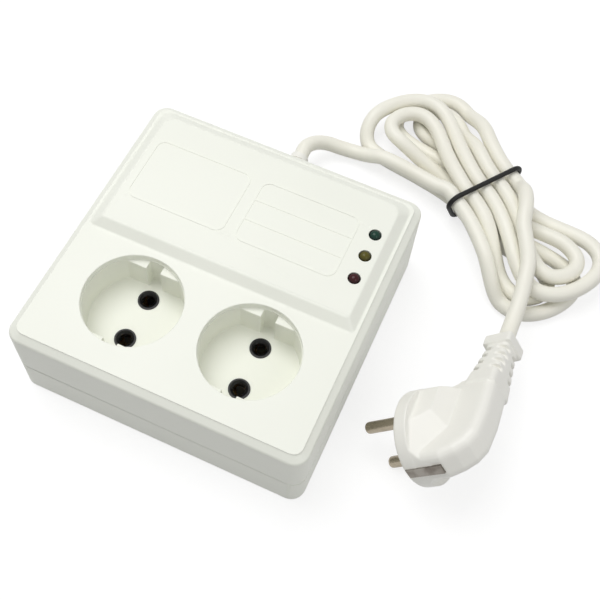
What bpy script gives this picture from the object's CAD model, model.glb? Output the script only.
"""Looks of the appliance voltage protector: camera, cord, plug, softened mouldings, materials and light.

Lengths are in millimetres, and MM turns them into metres where they go to Blender.
"""

import math

import bpy
from mathutils import Matrix, Vector


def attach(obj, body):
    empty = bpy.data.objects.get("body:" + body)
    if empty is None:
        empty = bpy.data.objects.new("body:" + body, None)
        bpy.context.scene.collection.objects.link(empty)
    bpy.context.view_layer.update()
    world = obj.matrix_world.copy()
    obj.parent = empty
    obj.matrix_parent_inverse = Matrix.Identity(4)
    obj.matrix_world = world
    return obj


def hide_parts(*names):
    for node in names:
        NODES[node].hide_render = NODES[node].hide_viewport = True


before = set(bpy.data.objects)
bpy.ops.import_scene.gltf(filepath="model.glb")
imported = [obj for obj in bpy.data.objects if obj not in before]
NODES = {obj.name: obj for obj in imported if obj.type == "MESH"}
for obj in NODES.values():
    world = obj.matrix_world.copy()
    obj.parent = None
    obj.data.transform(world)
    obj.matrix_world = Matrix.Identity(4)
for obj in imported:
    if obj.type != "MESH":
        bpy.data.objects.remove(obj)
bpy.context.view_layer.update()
MM = 0.001
UP = Vector((0, 0, 1))

# Camera
# A plain 55 mm lens above the front right of the housing, turned a little in its own picture.
# Azimuth 0 looks along +Y.
AZIMUTH, ELEVATION, ROLL = 18.96, 61.648, 5.851
DISTANCE = 399.689
TARGET = Vector((25.339, 20.657, 0))
LENS, SENSOR = 54.836, 36
CLIP_NEAR, CLIP_FAR = 10, 10000


def add_camera():
    turn, lift, roll = (math.radians(v) for v in (AZIMUTH, ELEVATION, ROLL))
    back = Vector((math.sin(turn) * math.cos(lift), -math.cos(turn) * math.cos(lift), math.sin(lift)))
    side = (-back).cross(UP).normalized()
    top = side.cross(-back)
    data = bpy.data.cameras.new("camera")
    data.lens = LENS
    data.sensor_width = SENSOR
    data.clip_start, data.clip_end = CLIP_NEAR * MM, CLIP_FAR * MM
    eye = bpy.data.objects.new("camera", data)
    bpy.context.scene.collection.objects.link(eye)
    right = math.cos(roll) * side + math.sin(roll) * top
    up = math.cos(roll) * top - math.sin(roll) * side
    turned = Matrix((right, up, back)).transposed().to_4x4()
    turned.translation = (TARGET + DISTANCE * back) * MM
    eye.matrix_world = turned
    bpy.context.scene.camera = eye


add_camera()

# Mains cord
# One round PVC cord of 6.8 mm: a lead from the strain relief, a hank of eight lobes and a tail to the plug.
# The hank is wound by hand in a figure of eight and tied at its waist, where five strands cross over four.
CORD_R, CORD_SIDES, CORD_SHARP = 3.4, 24, 60
ROUTE_STEP = 1.5
EXIT = Vector((-3, 82.5, 12))
HANK_AT = Vector((80, 103, 0))
HANK_TURN = math.radians(-35.5)
TOP_STRANDS, LOW_STRANDS = 5, 4
TOP_PITCH, LOW_PITCH = 7.6, 7.8
FLOOR_Z, LOW_Z, OVER_Z, TOP_Z = CORD_R, 5.7, 10.8, 13.2
WIDEST_SHARE, REACH_SHARE, MIDDLE_SHARE = 0.577, 0.667, 1.5
LOBE_STEPS = 100
# Side of the waist, upper strand, lower strand, 1 where the lobe lies over the others
LOBE_ORDER = [
    (1, 0, 1, 0), (-1, 1, 1, 1), (1, 1, 0, 0), (-1, 2, 0, 1),
    (1, 2, 3, 1), (-1, 3, 3, 0), (1, 3, 2, 1), (-1, 4, 2, 0),
]
# Middle line, half width and reach of each lobe
LOBE_SIZES = [
    (-5.25, 18, 62), (-8.25, 9.75, 54.75), (-7.5, 9.25, 53.75), (-9.5, 19, 62.25),
    (7.25, 18.5, 61.75), (8, 9, 53.5), (6.75, 9.25, 54), (6.5, 18, 61.25),
]
# Shares of each lobe's length over which it leaves the waist's height, changes height and comes back
LOBE_LEAVE = [
    (0.14, 0.29), (0, 0.1), (0.06, 0.26), (0, 0.12), (0.1, 0.27), (0, 0.12), (0.06, 0.24), (0, 0.12),
]
LOBE_CLIMB = [
    (0.4, 0.6), (0.1, 0.3), (0.4, 0.6), (0.29, 0.46), (0.4, 0.6), (0.4, 0.6), (0.4, 0.6), (0.4, 0.6),
]
LOBE_BACK = [
    (0.89, 1), (0.81, 0.95), (0.88, 1), (0.8, 0.94), (0.72, 0.9), (0.76, 0.9), (0.72, 0.9), (0.73, 0.87),
]
# The cord's free stretches, from the strain relief to the waist and from the waist to the plug
LEAD = [
    (-3, 89.3, 12), (-0.5, 95, 10), (4, 99, 7.6), (10, 101, 5.5), (17, 102, 5), (24, 101.5, 7),
    (30.5, 101, 10), (37.5, 100, 11), (48, 98.5, 11), (58, 96, 12),
]
TAIL = [
    (97.5, 105.5, 18), (100, 97, 20), (102, 88, 19), (106, 80, 18), (109.5, 71, 18.5),
    (111, 62, 18), (112, 52, 18), (112.3, 43, 17.7),
]
STRAIGHT = 2 * CORD_R
# The plug's own frame, +X along its neck and +Z along its pins, and the collar where the tail enters it
PLUG_AT = Vector((95, -25, 20.2))
PLUG_TURN = (-135, 19, 90)
COLLAR_END, COLLAR_Z = 50, -24.5
PLUG_MATRIX = (
    Matrix.Rotation(math.radians(PLUG_TURN[2]), 3, "Z")
    @ Matrix.Rotation(math.radians(PLUG_TURN[1]), 3, "Y")
    @ Matrix.Rotation(math.radians(PLUG_TURN[0]), 3, "X")
)


def ease(span, t):
    x = min(1, max(0, (t - span[0]) / (span[1] - span[0])))
    return x * x * (3 - 2 * x)


def hank_point(p, q, z):
    """A place of the hank, p along it from the waist and q across it."""
    c, s = math.cos(HANK_TURN), math.sin(HANK_TURN)
    return HANK_AT + Vector((p * c - q * s, p * s + q * c, z))


def top_strand(k):
    return TOP_PITCH * (k - (TOP_STRANDS - 1) / 2)


def low_strand(k):
    return LOW_PITCH * (k - (LOW_STRANDS - 1) / 2)


def lobe_point(i, t):
    """The place a share t along lobe i, which starts and ends in the waist."""
    side, upper, lower, over = LOBE_ORDER[i]
    middle, half, reach = LOBE_SIZES[i]
    out = side > 0
    q0, q1 = (top_strand(upper), low_strand(lower)) if out else (low_strand(lower), top_strand(upper))
    z0, z3 = (TOP_Z, LOW_Z) if out else (LOW_Z, TOP_Z)
    z1 = OVER_Z if out and over else FLOOR_Z
    z2 = OVER_Z if over else FLOOR_Z
    mid, d = (q0 + q1) / 2, (q0 - q1) / 2
    grow = (d + half / WIDEST_SHARE) / REACH_SHARE
    s2 = math.sin(math.pi * t) ** 2
    q = mid + (middle - mid) * MIDDLE_SHARE * s2 + (d - grow * s2) * math.cos(math.pi * t)
    z = z0 + (z1 - z0) * ease(LOBE_LEAVE[i], t) + (z2 - z1) * ease(LOBE_CLIMB[i], t)
    z += (z3 - z2) * ease(LOBE_BACK[i], t)
    return hank_point(side * reach * math.sin(math.pi * t), q, z)


def curve_through(points):
    """A smooth line through the points, with about one point every ROUTE_STEP millimetres."""
    knots = [2 * points[0] - points[1]] + points + [2 * points[-1] - points[-2]]
    line = [points[0]]
    for a, b, c, d in zip(knots, knots[1:], knots[2:], knots[3:]):
        t1 = (b - a).length ** 0.5
        t2 = t1 + (c - b).length ** 0.5
        t3 = t2 + (d - c).length ** 0.5
        count = max(1, round((c - b).length / ROUTE_STEP))
        for k in range(1, count + 1):
            t = t1 + (t2 - t1) * k / count
            p = a + (b - a) * t / t1
            q = b + (c - b) * (t - t1) / (t2 - t1)
            r = c + (d - c) * (t - t2) / (t3 - t2)
            near = p + (q - p) * t / t2
            far = q + (r - q) * (t - t1) / (t3 - t1)
            line.append(near + (far - near) * (t - t1) / (t2 - t1))
    return line


def plug_point(x, y, z):
    return PLUG_AT + PLUG_MATRIX @ Vector((x, y, z))


def cord_path():
    hank = [lobe_point(i, k / LOBE_STEPS) for i in range(len(LOBE_ORDER)) for k in range(LOBE_STEPS)]
    start = hank_point(0, top_strand(0), TOP_Z)
    end = hank_point(0, top_strand(TOP_STRANDS - 1), TOP_Z)
    along = hank_point(1, 0, 0) - hank_point(0, 0, 0)
    collar = plug_point(COLLAR_END, 0, COLLAR_Z)
    before = collar + STRAIGHT * (PLUG_MATRIX @ Vector((1, 0, 0)))
    lead = [EXIT] + [Vector(p) for p in LEAD] + [start - STRAIGHT * along, start]
    tail = [end, end + STRAIGHT * along] + [Vector(p) for p in TAIL] + [before, collar]
    return curve_through(lead)[:-1] + hank + curve_through(tail)


def piece(name, points, faces):
    mesh = bpy.data.meshes.new(name)
    mesh.from_pydata([Vector(p) * MM for p in points], [], faces)
    mesh.validate()
    made = bpy.data.objects.new(name, mesh)
    bpy.context.scene.collection.objects.link(made)
    return made


def sweep(name, path, radius, sides, closed=False):
    """A round tube along the path; its frame is carried along without twist."""
    count = len(path)
    heads = []
    for i in range(count):
        before = path[i - 1] if closed or i else path[0]
        after = path[(i + 1) % count] if closed or i < count - 1 else path[-1]
        heads.append((after - before).normalized())
    across = heads[0].cross(UP)
    points = []
    for at, head in zip(path, heads):
        across = (across - across.dot(head) * head).normalized()
        over = head.cross(across)
        for k in range(sides):
            turn = 2 * math.pi * k / sides
            points.append(at + radius * (math.cos(turn) * across + math.sin(turn) * over))
    faces = []
    for i in range(count if closed else count - 1):
        a, b = i * sides, (i + 1) % count * sides
        faces += [(a + k, a + (k + 1) % sides, b + (k + 1) % sides, b + k) for k in range(sides)]
    if not closed:
        faces.append(tuple(reversed(range(sides))))
        faces.append(tuple(range((count - 1) * sides, count * sides)))
    made = piece(name, points, faces)
    made.data.shade_smooth()
    made.data.set_sharp_from_angle(angle=math.radians(CORD_SHARP))
    return made


class Socket:
    """An output of a shader node; sums on it add Math nodes."""

    def __init__(self, look, out):
        self.look, self.out = look, out

    def math(self, operation, first, second):
        return self.look.node("ShaderNodeMath", {"operation": operation}, {0: first, 1: second})

    def __add__(self, other):
        return self.math("ADD", self, other)

    __radd__ = __add__

    def __sub__(self, other):
        return self.math("SUBTRACT", self, other)

    def __rsub__(self, other):
        return self.math("SUBTRACT", other, self)

    def __mul__(self, other):
        return self.math("MULTIPLY", self, other)

    __rmul__ = __mul__

    def between(self, low, high):
        """Eased from 0 to 1 while this value goes from low to high."""
        values = {0: self, 1: low, 2: high}
        return self.look.node("ShaderNodeMapRange", {"interpolation_type": "SMOOTHSTEP"}, values)

    def mix(self, first, second):
        """The first colour where this value is 0 and the second where it is 1."""
        return self.look.node("ShaderNodeMix", {"data_type": "RGBA"}, {0: self, 6: first, 7: second}, 2)


class Look:
    """A material on the Principled shader; patterns lie in Object coordinates."""

    def __init__(self, name, owner=None, shader="Principled BSDF"):
        self.material = owner or bpy.data.materials.new(name)
        self.material.use_nodes = True
        self.tree = self.material.node_tree
        self.shader = self.tree.nodes[shader]
        self.place = self.node("ShaderNodeTexCoord", out="Object")

    def node(self, kind, settings=None, values=None, out=0):
        """A new node with its settings and the values or links of its sockets."""
        made = self.tree.nodes.new(kind)
        for name, value in (settings or {}).items():
            setattr(made, name, value)
        for name, value in (values or {}).items():
            self.put(made.inputs[name], value)
        return Socket(self, made.outputs[out])

    def put(self, slot, value):
        if isinstance(value, Socket):
            self.tree.links.new(value.out, slot)
        elif slot.type == "RGBA":
            slot.default_value = (*value, 1)
        else:
            slot.default_value = value

    def set(self, **values):
        for name, value in values.items():
            self.put(self.shader.inputs[name.replace("_", " ")], value)
        return self

    def noise(self, size, detail=2.0, stretch=(1, 1, 1)):
        """Noise whose marks are about size millimetres across."""
        place = self.node("ShaderNodeMapping", None, {"Vector": self.place, "Scale": stretch})
        values = {"Vector": place, "Scale": 1 / (size * MM), "Detail": detail}
        return self.node("ShaderNodeTexNoise", None, values)

    def bump(self, height, depth):
        """Bump of the height pattern, depth millimetres deep."""
        normal = self.node("ShaderNodeBump", None, {"Height": height, "Distance": depth * MM})
        return self.set(Normal=normal)

    def on(self, *pieces):
        """Gives the material to pieces, or to CAD nodes by name."""
        for target in pieces:
            data = (NODES[target] if isinstance(target, str) else target).data
            data.materials.clear()
            data.materials.append(self.material)
        return self


CLOUD_SIZE, CLOUD_SPAN = 38, (0.35, 0.7)
NOISE_MIDDLE, PLASTIC_SPREAD = 0.5, 0.12


def moulded(name, color, shade, roughness, grain=0.5, depth=0.012):
    """Moulded plastic: slow colour clouds, uneven gloss and the fine grain of a spark-eroded mould."""
    look = Look(name)
    clouds = look.noise(CLOUD_SIZE)
    fine = look.noise(grain)
    look.set(Base_Color=clouds.between(*CLOUD_SPAN).mix(color, shade))
    look.set(Roughness=roughness + PLASTIC_SPREAD * (fine - NOISE_MIDDLE))
    return look.bump(fine, depth)


route = cord_path()
cord = sweep("cord", route, CORD_R, CORD_SIDES)
cord_length = sum((b - a).length for a, b in zip(route, route[1:]))
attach(cord, "housing")
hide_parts("cord_lead", "cord_hank", "cord_tail")
cord_look = moulded("cord_white", (0.94, 0.925, 0.83), (0.92, 0.9, 0.8), 0.4, grain=1.2, depth=0.02)
cord_look.on(cord, "cord_inside")

# Tie of the hank
# A black rubber band of round section, closed with no knot in sight.
# It is drawn over the two rows of strands at the waist.
TIE_R, TIE_GAP, TIE_STEPS, TIE_SIDES = 1.1, 0.15, 12, 16
# Place of each corner strand, and the directions between which the band rounds it, in degrees
TIE_CORNERS = [
    (top_strand(TOP_STRANDS - 1), TOP_Z, 90, -22), (low_strand(LOW_STRANDS - 1), LOW_Z, -22, -90),
    (low_strand(0), LOW_Z, -90, -158), (top_strand(0), TOP_Z, -158, -270),
]


def tie_path():
    reach = CORD_R + TIE_GAP + TIE_R
    ring = []
    for q, z, start, end in TIE_CORNERS:
        for k in range(TIE_STEPS):
            turn = math.radians(start + (end - start) * k / (TIE_STEPS - 1))
            ring.append(hank_point(0, q + reach * math.cos(turn), z + reach * math.sin(turn)))
    return ring


tie = sweep("tie", tie_path(), TIE_R, TIE_SIDES, closed=True)
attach(tie, "housing")
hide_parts("cord_tie")
tie_look = moulded("tie_black", (0.008, 0.008, 0.008), (0.016, 0.016, 0.016), 0.5, grain=0.3)
tie_look.set(Specular_IOR_Level=0.25).on(tie)

# Plug body
# An angled plug of soft white PVC, moulded in one shot round the cord, its pins and its earth strips.
# A full round face, a crown with flat facets behind it, a back web bent to the slotted neck, and a collar.
# It is modelled in its own frame, +X along the neck and the pins to +Z, and then laid in its place.
PLUG_R, PLUG_SIDES = 18.5, 96
FACE_DEEP, FACE_BEVEL, FACE_STEPS = 5.5, 0.8, 2
CROWN_DEEP, CROWN_R = 18.2, 18.35
# Direction of each facet of the crown and its distance from the face's middle, the same on both sides
FACETS = [((0, 0.976, -0.213), 15.7), ((-0.434, 0.685, -0.585), 16.3), ((0, 0.6, -0.8), 17.8)]
WEB_OUTLINE = [
    (-18, -3), (-18, -16.4), (-15.6, -22), (-12.2, -26.6), (-7, -29.5), (4, -30.4), (14, -30.1),
    (24, -29.6), (24, -17.4), (20.6, -14.6), (18, -8), (17.4, -3),
]
WEB_HALF, WEB_ROUND, WEB_STEPS = 6.8, 3.4, 4
WEB_ROUND_BELOW, WEB_ROUND_BEHIND = -20, -10
NECK_START, NECK_END = 20, 44.8
NECK_HALVES, NECK_DEPTHS = (7.4, 4.9), ((-30, -16.6), (-29.4, -19.6))
NECK_ROUND, NECK_STEPS = 2.2, 3
COLLAR_START, COLLAR_HALF, COLLAR_ROUND, COLLAR_END_STEPS = 44.4, 6.1, 1.2, 2
SLOT_FIRST, SLOT_PITCH, SLOT_ROWS, SLOT_W, SLOT_REACH, SLOT_TURN = 27.5, 4.4, 4, 2, 4.2, 45
PLUG_VOXEL, PLUG_SMOOTHS, PLUG_SMOOTHING = 0.36, 4, 0.5
LONG_EDGE = 1
NEAR = 0.1


def alone(made):
    """Selects the piece and nothing else."""
    bpy.ops.object.select_all(action="DESELECT")
    made.select_set(True)
    bpy.context.view_layer.objects.active = made


def added(name):
    """Names the primitive that was just added and applies its place."""
    made = bpy.context.active_object
    made.name = name
    alone(made)
    bpy.ops.object.transform_apply(location=True, rotation=True, scale=True)
    return made


def cylinder(name, radius, low, high, sides, y=0.0):
    bpy.ops.object.select_all(action="DESELECT")
    bpy.ops.mesh.primitive_cylinder_add(
        vertices=sides,
        radius=radius * MM,
        depth=(high - low) * MM,
        location=Vector((0, y, (low + high) / 2)) * MM,
    )
    return added(name)


def block(name, low, high):
    bpy.ops.object.select_all(action="DESELECT")
    low, high = Vector(low) * MM, Vector(high) * MM
    bpy.ops.mesh.primitive_cube_add(size=1, location=(low + high) / 2, scale=high - low)
    return added(name)


def opened(made, kind, action):
    """Opens the piece in edit mode with all or none of its edges or faces selected."""
    alone(made)
    bpy.ops.object.mode_set(mode="EDIT")
    bpy.ops.mesh.select_mode(type=kind)
    bpy.ops.mesh.select_all(action=action)


def done():
    bpy.ops.object.mode_set(mode="OBJECT")


def rounded(made, width, segments, test):
    """Rounds the edges that pass the test by the places of their ends."""
    opened(made, "EDGE", "DESELECT")
    done()
    spots = [v.co / MM for v in made.data.vertices]
    for edge in made.data.edges:
        edge.select = test(*(spots[k] for k in edge.vertices))
    bpy.ops.object.mode_set(mode="EDIT")
    bpy.ops.mesh.bevel(offset=width * MM, segments=segments, affect="EDGES")
    done()


def cut_by(made, at, normal):
    """Cuts away what lies beyond the plane and closes the cut."""
    opened(made, "FACE", "SELECT")
    bpy.ops.mesh.bisect(plane_co=Vector(at) * MM, plane_no=normal, use_fill=True, clear_outer=True)
    done()


def finished(made, kind, **settings):
    """Adds a modifier with its settings and applies it."""
    alone(made)
    modifier = made.modifiers.new(kind.lower(), kind)
    for name, value in settings.items():
        setattr(modifier, name, value)
    bpy.ops.object.modifier_apply(modifier=modifier.name)


def joined(name, pieces):
    """Joins the pieces to one object with one mesh."""
    alone(pieces[0])
    for other in pieces:
        other.select_set(True)
    bpy.ops.object.join()
    pieces[0].name = name
    return pieces[0]


def laid(made):
    """Turns the piece from the plug's own frame to its place."""
    turned = PLUG_MATRIX.to_4x4()
    turned.translation = PLUG_AT * MM
    made.matrix_world = turned
    alone(made)
    bpy.ops.object.transform_apply(location=True, rotation=True, scale=True)
    return made


def plug_face():
    face = cylinder("plug_face", PLUG_R, -FACE_DEEP, 0, PLUG_SIDES)
    rounded(face, FACE_BEVEL, FACE_STEPS, lambda a, b: min(a.z, b.z) > -NEAR)
    return face


def plug_crown():
    crown = cylinder("plug_crown", CROWN_R, -CROWN_DEEP, -FACE_DEEP / 2, PLUG_SIDES)
    for side in (-1, 1):
        for (x, y, z), distance in FACETS:
            normal = Vector((x, side * y, z))
            cut_by(crown, normal * distance, normal)
    return crown


def on_web_rim(a, b):
    """True on the outlines of the web's two sides, where they lie outside the crown."""
    outside = min(a.z, b.z) < WEB_ROUND_BELOW or max(a.x, b.x) < WEB_ROUND_BEHIND
    return outside and abs(a.y - b.y) < NEAR


def plug_web():
    bpy.ops.object.select_all(action="DESELECT")
    bpy.ops.mesh.primitive_circle_add(vertices=len(WEB_OUTLINE), radius=1, fill_type="NGON")
    web = added("plug_web")
    for vertex, (x, z) in zip(web.data.vertices, WEB_OUTLINE):
        vertex.co = Vector((x, -WEB_HALF, z)) * MM
    opened(web, "FACE", "SELECT")
    bpy.ops.mesh.extrude_region_move(TRANSFORM_OT_translate={"value": (0, 2 * WEB_HALF * MM, 0)})
    bpy.ops.mesh.select_all(action="SELECT")
    bpy.ops.mesh.normals_make_consistent(inside=False)
    done()
    rounded(web, WEB_ROUND, WEB_STEPS, on_web_rim)
    return web


def runs_along(a, b):
    """True on the long edges of the neck and the collar."""
    return abs(a.x - b.x) > LONG_EDGE


def plug_neck():
    (low0, high0), (low1, high1) = NECK_DEPTHS
    neck = block("plug_neck", (NECK_START, -NECK_HALVES[0], low0), (NECK_END, NECK_HALVES[0], high0))
    for vertex in neck.data.vertices:
        if vertex.co.x > (NECK_START + NECK_END) / 2 * MM:
            vertex.co.y *= NECK_HALVES[1] / NECK_HALVES[0]
            vertex.co.z = (high1 if vertex.co.z > (low0 + high0) / 2 * MM else low1) * MM
    rounded(neck, NECK_ROUND, NECK_STEPS, runs_along)
    return neck


def plug_slots():
    """Rows of four square bars on edge, which cut one slot across each long edge of the neck."""
    half = SLOT_REACH / math.sqrt(2)
    corner = Vector((SLOT_W / 2, half, half))
    slots = []
    for row in range(SLOT_ROWS):
        x = SLOT_FIRST + row * SLOT_PITCH
        share = (x + SLOT_W / 2 - NECK_START) / (NECK_END - NECK_START)
        wide = NECK_HALVES[0] + share * (NECK_HALVES[1] - NECK_HALVES[0])
        for side in (-1, 1):
            for z0, z1 in zip(*NECK_DEPTHS):
                z = z0 + share * (z1 - z0)
                slot = block("slot", -corner, corner)
                slot.rotation_euler.x = math.radians(SLOT_TURN)
                slot.location = Vector((x + SLOT_W / 2, side * wide, z)) * MM
                bpy.ops.object.transform_apply(location=True, rotation=True, scale=True)
                slots.append(slot)
    return joined("plug_slots", slots)


def plug_collar():
    low = (COLLAR_START, -COLLAR_HALF, COLLAR_Z - COLLAR_HALF)
    high = (COLLAR_END, COLLAR_HALF, COLLAR_Z + COLLAR_HALF)
    collar = block("plug_collar", low, high)
    rounded(collar, COLLAR_ROUND, NECK_STEPS, runs_along)
    rounded(collar, COLLAR_ROUND / 2, COLLAR_END_STEPS, lambda a, b: min(a.x, b.x) > COLLAR_END - NEAR)
    return collar


neck = plug_neck()
slots = plug_slots()
finished(neck, "BOOLEAN", object=slots, operation="DIFFERENCE", solver="EXACT")
bpy.data.objects.remove(slots)
plug = joined("plug", [plug_face(), plug_crown(), plug_web(), neck, plug_collar()])
finished(plug, "REMESH", mode="VOXEL", voxel_size=PLUG_VOXEL * MM)
finished(plug, "SMOOTH", factor=PLUG_SMOOTHING, iterations=PLUG_SMOOTHS)
laid(plug)
plug.data.shade_smooth()
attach(plug, "housing")
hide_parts("plug_body")
plug_look = moulded("plug_white", (0.94, 0.93, 0.87), (0.92, 0.91, 0.85), 0.38, grain=0.8).on(plug)

# Plug pins
# Two turned pins of nickel-plated brass on 19 mm centres, moulded into the body, with rounded tips.
# The plating is worn to a warm grey.
PIN_R, PIN_LENGTH, PIN_PITCH, PIN_ROOT, PIN_SIDES = 2.4, 19, 19, 6, 48
PIN_TIP_ROUND, PIN_TIP_STEPS, PIN_SHARP = 1.5, 4, 50
MARK_SIZE, MARK_DEPTH, METAL_SPREAD = 0.25, 0.003, 0.3
STAIN_SIZE, STAIN_DETAIL, STAIN_SPAN = 6, 3, (0.4, 0.75)


def metal(name, color, stain, roughness, stretch=(1, 1, 1)):
    """Metal with fine marks, which a stretch draws out to lines, cloudy stains and uneven gloss."""
    look = Look(name)
    marks = look.noise(MARK_SIZE, stretch=stretch)
    stains = look.noise(STAIN_SIZE, STAIN_DETAIL)
    look.set(Base_Color=stains.between(*STAIN_SPAN).mix(color, stain))
    look.set(Roughness=roughness + METAL_SPREAD * (marks - NOISE_MIDDLE), Metallic=1.0)
    return look.bump(marks, MARK_DEPTH)


pins = []
for side in (-1, 1):
    pin = cylinder("pin", PIN_R, -PIN_ROOT, PIN_LENGTH, PIN_SIDES, y=side * PIN_PITCH / 2)
    rounded(pin, PIN_TIP_ROUND, PIN_TIP_STEPS, lambda a, b: min(a.z, b.z) > PIN_LENGTH - NEAR)
    pins.append(pin)
pins = laid(joined("pins", pins))
pins.data.shade_smooth()
pins.data.set_sharp_from_angle(angle=math.radians(PIN_SHARP))
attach(pins, "housing")
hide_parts("plug_pins")
metal("nickel", (0.4, 0.35, 0.27), (0.25, 0.21, 0.15), 0.3).on(pins)
metal("earth_strip", (0.3, 0.28, 0.25), (0.16, 0.14, 0.12), 0.42).on("plug_earth_clips")

# Upper shell
# The lid of the housing, injection-moulded in warm white ABS with a faint greenish shade.
# A raised panel carries the lamps and two label frames; every outer edge leaves the mould a little rounded.
MERGE, LEVEL_NEAR = 0.03, 0.06
FLAT_ANGLE, SHARP_ANGLE, SMOOTH_ANGLE = 0.5, 15, 35
EDGE_STEPS = 3
BEVEL_Z, FACE_Z, PANEL_Z = 40.5, 43, 46
FACE_X, FACE_Y, FACE_CORNER = 58.5, 59, 4
SOCKET_X, SOCKET_Y, OPENING_R = 24.75, -28.75, 19.75
LABELS_X, LABELS_Y = (-51, 42), (10, 42.5)
LAMP_X, LAMP_ZONE = 48.4, 4
SHOULDER_ROUND, SHOULDER_OUT = 0.9, 2
FACE_ROUND, FACE_IN = 0.25, 0.15
PANEL_ROUND, PANEL_FOOT, RIM_ROUND, LAMP_RIM = 0.7, 0.5, 0.35, 0.15


def level(a, b, z):
    """True on an edge that lies level at the height z."""
    return abs(a.z - z) < LEVEL_NEAR and abs(b.z - z) < LEVEL_NEAR


def inset(x, y, half_x, half_y, corner):
    """How far a place lies inside a rectangle with round corners."""
    dx, dy = abs(x) - (half_x - corner), abs(y) - (half_y - corner)
    if dx > 0 and dy > 0:
        return corner - math.hypot(dx, dy)
    return min(half_x - abs(x), half_y - abs(y))


def softened(name, node, width_of):
    """A merged copy of a CAD node whose sharp edges are rounded to the width that their place asks for."""
    source = NODES[node]
    made = bpy.data.objects.new(name, source.data.copy())
    bpy.context.scene.collection.objects.link(made)
    opened(made, "EDGE", "SELECT")
    bpy.ops.mesh.remove_doubles(threshold=MERGE * MM)
    bpy.ops.mesh.dissolve_limited(angle_limit=math.radians(FLAT_ANGLE))
    bpy.ops.mesh.select_all(action="DESELECT")
    bpy.ops.mesh.edges_select_sharp(sharpness=math.radians(SHARP_ANGLE))
    done()
    mesh = made.data
    widths = {}
    for edge in mesh.edges:
        if edge.select:
            widths[edge.index] = width_of(*(mesh.vertices[k].co / MM for k in edge.vertices))
    widest = max(widths.values())
    weights = mesh.attributes.new("bevel_weight_edge", "FLOAT", "EDGE")
    for index, width in widths.items():
        weights.data[index].value = width / widest
    finished(
        made,
        "BEVEL",
        width=widest * MM,
        segments=EDGE_STEPS,
        limit_method="WEIGHT",
        use_clamp_overlap=False,
    )
    bpy.ops.object.shade_smooth_by_angle(angle=math.radians(SMOOTH_ANGLE))
    finished(made, "WEIGHTED_NORMAL", keep_sharp=True)
    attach(made, "housing")
    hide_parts(node)
    return made


def face_width(middle):
    """Rounding of an edge in the face: its outer rim, the rims of the openings or the foot of the panel."""
    if inset(middle.x, middle.y, FACE_X, FACE_Y, FACE_CORNER) < FACE_IN:
        return FACE_ROUND
    rim = min(math.hypot(middle.x - side * SOCKET_X, middle.y - SOCKET_Y) for side in (-1, 1))
    return RIM_ROUND if rim < OPENING_R + NEAR else PANEL_FOOT


def panel_width(middle):
    """Rounding of an edge in the panel: its rim and the lamps' holes, but not the label frames."""
    in_rows = LABELS_Y[0] < middle.y < LABELS_Y[1]
    if in_rows and LABELS_X[0] < middle.x < LABELS_X[1]:
        return 0
    return LAMP_RIM if in_rows and abs(middle.x - LAMP_X) < LAMP_ZONE else PANEL_ROUND


def upper_width(a, b):
    middle = (a + b) / 2
    if level(a, b, BEVEL_Z):
        outside = inset(middle.x, middle.y, FACE_X, FACE_Y, FACE_CORNER) < -SHOULDER_OUT
        return SHOULDER_ROUND if outside else 0
    if level(a, b, FACE_Z):
        return face_width(middle)
    return panel_width(middle) if level(a, b, PANEL_Z) else 0


upper = softened("upper_lid", "upper_shell", upper_width)
shell_look = moulded("shell_white", (0.925, 0.94, 0.855), (0.91, 0.925, 0.84), 0.42).on(upper)

# Lower shell
# The tray of the housing in the same ABS, with a step at the parting line.
# Four screws from below draw it to the lid.
FOOT_ROUND = 0.4
FOOT_LEVELS = (0, 1)
WALL_LINE = 58


def lower_width(a, b):
    outside = min(max(abs(p.x), abs(p.y)) for p in (a, b)) > WALL_LINE
    return FOOT_ROUND if outside and any(level(a, b, z) for z in FOOT_LEVELS) else 0


lower = softened("lower_tray", "lower_shell", lower_width)
shell_look.on(lower)

# Socket cups
# Two round cups of the same white plastic below the openings of the lid, with guide ribs on the wall.
# Their floors carry the bushes of the pin holes.
RECESS_FLOOR, CUP_ROUND, BUSH_SEAT = 26.5, 0.3, 4.6


def cup_width(a, b):
    middle = (a + b) / 2
    holes = [(sx * SOCKET_X, SOCKET_Y + sy * PIN_PITCH / 2) for sx in (-1, 1) for sy in (-1, 1)]
    seat = min(math.hypot(middle.x - x, middle.y - y) for x, y in holes) < BUSH_SEAT
    inside = RECESS_FLOOR - NEAR <= middle.z <= BEVEL_Z - NEAR
    return CUP_ROUND if inside and not seat else 0


cups = softened("cups", "socket_cups", cup_width)
moulded("cup_white", (0.9, 0.913, 0.822), (0.885, 0.898, 0.806), 0.42).on(cups)

# Pin bushes
# Four black glossy bushes of phenolic resin, pressed into the cup floors from below.
# A raised ring and a funnel lead the pins in.
BUSH_ROUND, BUSH_SEEN = 0.12, 0.6


def bush_width(a, b):
    return BUSH_ROUND if min(a.z, b.z) > RECESS_FLOOR - BUSH_SEEN else 0


bushes = softened("bushes", "pin_bushes", bush_width)
bush_look = moulded("bush_black", (0.006, 0.006, 0.006), (0.01, 0.01, 0.01), 0.3, grain=0.4, depth=0.006)
bush_look.set(Specular_IOR_Level=0.25).on(bushes)

# Indicator lamps
# Three unlit 5 mm lamps of tinted epoxy, green, yellow and red, pushed up through the panel from below.
# The tint is deep at the foot, and the dome has a clear gloss.
LENS_FOOT, LENS_HEAD = 45.6, 47.2
RIPPLE_SIZE, RIPPLE_DEPTH = 0.8, 0.01


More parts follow.
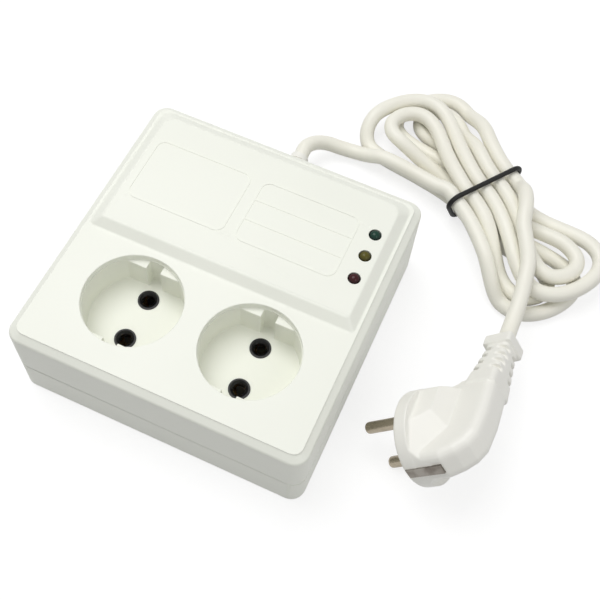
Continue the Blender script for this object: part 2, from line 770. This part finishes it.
def lens(name, color, deep):
    look = Look(name)
    height = look.node("ShaderNodeSeparateXYZ", None, {0: look.place}, "Z")
    look.set(Base_Color=height.between(LENS_FOOT * MM, LENS_HEAD * MM).mix(deep, color))
    look.set(Roughness=0.2, Specular_IOR_Level=0.0, Coat_Weight=0.45, Coat_Roughness=0.05)
    return look.bump(look.noise(RIPPLE_SIZE), RIPPLE_DEPTH)


lens("lens_green", (0.004, 0.045, 0.028), (0.001, 0.014, 0.01)).on("led_green")
lens("lens_yellow", (0.1, 0.088, 0.006), (0.035, 0.03, 0.002)).on("led_yellow")
lens("lens_red", (0.05, 0.003, 0.005), (0.015, 0.001, 0.002)).on("led_red")

# Strain relief and cord clamp
# A ribbed sleeve of soft white PVC holds the cord in the back wall and keeps it from kinking.
# Inside, a hard saddle with two screws clamps the cord.
RELIEF_ROUND = 0.2
relief = softened("relief", "cord_relief", lambda a, b: RELIEF_ROUND)
plug_look.on(relief)
moulded("clamp_white", (0.8, 0.8, 0.76), (0.76, 0.76, 0.7), 0.45).on("cord_clamp")

[p * MM for p in route]

# Screws and relay
# Zinc-plated steel for the screws and for the iron parts of the relay, with an enamelled copper coil.
# The relay sits on a black base under a blue cover.
WINDING = (0.05, 0.05, 1)
steel_look = metal("steel", (0.6, 0.6, 0.58), (0.5, 0.5, 0.47), 0.32)
steel_look.on("case_screws", "board_screws", "clamp_screws", "relay_yoke", "relay_core", "relay_armature")
metal("copper_coil", (0.7, 0.3, 0.13), (0.55, 0.2, 0.08), 0.28, WINDING).on("relay_coil")
moulded("relay_blue", (0.03, 0.08, 0.3), (0.05, 0.1, 0.34), 0.3).on("relay_cover")

# Contact bars and springs
# Two bars stamped from brass sheet run under the bushes, with a pair of upright blades at each pin hole.
# The relay's spring arm and fixed contact are of the same brass.
brass_look = metal("brass", (0.78, 0.57, 0.25), (0.62, 0.42, 0.17), 0.3)
brass_look.on("contact_bar_back", "contact_bar_front", "relay_contact_arm", "relay_fixed_contact")

# Circuit board and its parts
# A green glass-fibre board on four screws, with the parts that watch the mains soldered on its upper face.
# The parts have moulded plastic or dipped coats, and the fuse has metal caps.
moulded("board_green", (0.04, 0.2, 0.08), (0.06, 0.26, 0.11), 0.35, grain=0.6).on("circuit_board")
black_look = moulded("part_black", (0.02, 0.02, 0.02), (0.03, 0.03, 0.03), 0.4)
black_look.on("relay_base", "led_spacers", "control_chip")
moulded("varistor_blue", (0.02, 0.08, 0.3), (0.03, 0.1, 0.36), 0.25).on("varistor")
moulded("film_yellow", (0.7, 0.5, 0.06), (0.62, 0.42, 0.05), 0.3).on("film_capacitor")
moulded("can_dark", (0.02, 0.02, 0.06), (0.03, 0.03, 0.09), 0.25).on("electrolytic_capacitors")
moulded("terminal_green", (0.03, 0.3, 0.1), (0.04, 0.34, 0.13), 0.35).on("terminal_block")
metal("fuse_metal", (0.75, 0.75, 0.72), (0.6, 0.6, 0.56), 0.22).on("fuse")

# Wires
# Stranded copper in brown and blue PVC, cut to length and bent by hand.
# Two wires run from the cord to the terminals, and two from the board to the contact bars.
moulded("wire_brown", (0.12, 0.045, 0.015), (0.15, 0.06, 0.02), 0.35).on("wire_live_in", "wire_live_out")
moulded("wire_blue", (0.02, 0.1, 0.45), (0.03, 0.12, 0.5), 0.35).on("wire_neutral_in", "wire_neutral_out")

# Stage
# A white sheet of paper under a large soft lamp from the back left, with a weak fill from the front right.
# The paper and the surround are white to the camera and in reflections, and darker as they light the part.
FLOOR_HALF = 3000
FLOOR_LIT, FLOOR_SEEN, FLOOR_GLOW = 0.5, 0.36, 0.74
GLOW_NEAR, GLOW_FAR = 300, 1000
SURROUND = 0.4
SHOWING_RAYS = ("Is Camera Ray", "Is Glossy Ray", "Is Transmission Ray")
BLACK, WHITE = (0, 0, 0), (1, 1, 1)


def seen_rays(look):
    """1 for the rays that show the stage itself, 0 for those that light the part with it."""
    rays = look.node("ShaderNodeLightPath").out.node.outputs
    straight, mirrored, through = (Socket(look, rays[kind]) for kind in SHOWING_RAYS)
    return look.node("ShaderNodeClamp", None, {0: straight + mirrored + through})


def grey(value):
    return (value, value, value)


corners = [(-1, -1), (1, -1), (1, 1), (-1, 1)]
floor = piece("floor", [(FLOOR_HALF * x, FLOOR_HALF * y, 0) for x, y in corners], [(0, 1, 2, 3)])
floor_look = Look("floor_white").set(Roughness=0.9, Specular_IOR_Level=0.0, Emission_Strength=1.0).on(floor)
seen = seen_rays(floor_look)
floor_look.set(Base_Color=seen.mix(grey(FLOOR_LIT), grey(FLOOR_SEEN)))
away = floor_look.node("ShaderNodeVectorMath", {"operation": "LENGTH"}, {0: floor_look.place}, "Value")
glow = away.between(GLOW_NEAR * MM, GLOW_FAR * MM).mix(grey(FLOOR_GLOW), WHITE)
floor_look.set(Emission_Color=seen.mix(BLACK, glow))

world = bpy.data.worlds.new("surround")
bpy.context.scene.world = world
surround = Look("surround", world, "Background")
surround.set(Color=seen_rays(surround).mix(grey(SURROUND), WHITE))


def softbox(name, at, aim, size, power):
    data = bpy.data.lights.new(name, "AREA")
    data.shape = "SQUARE"
    data.size = size * MM
    data.energy = power
    lamp = bpy.data.objects.new(name, data)
    lamp.location = Vector(at) * MM
    lamp.rotation_euler = (Vector(aim) - Vector(at)).to_track_quat("-Z", "Y").to_euler()
    bpy.context.scene.collection.objects.link(lamp)


softbox("key", at=(-380, 200, 1060), aim=(20, 20, 0), size=800, power=6.9)
softbox("fill", at=(660, -260, 700), aim=(40, 20, 20), size=500, power=1.1)
bpy.context.scene.view_settings.view_transform = "Standard"
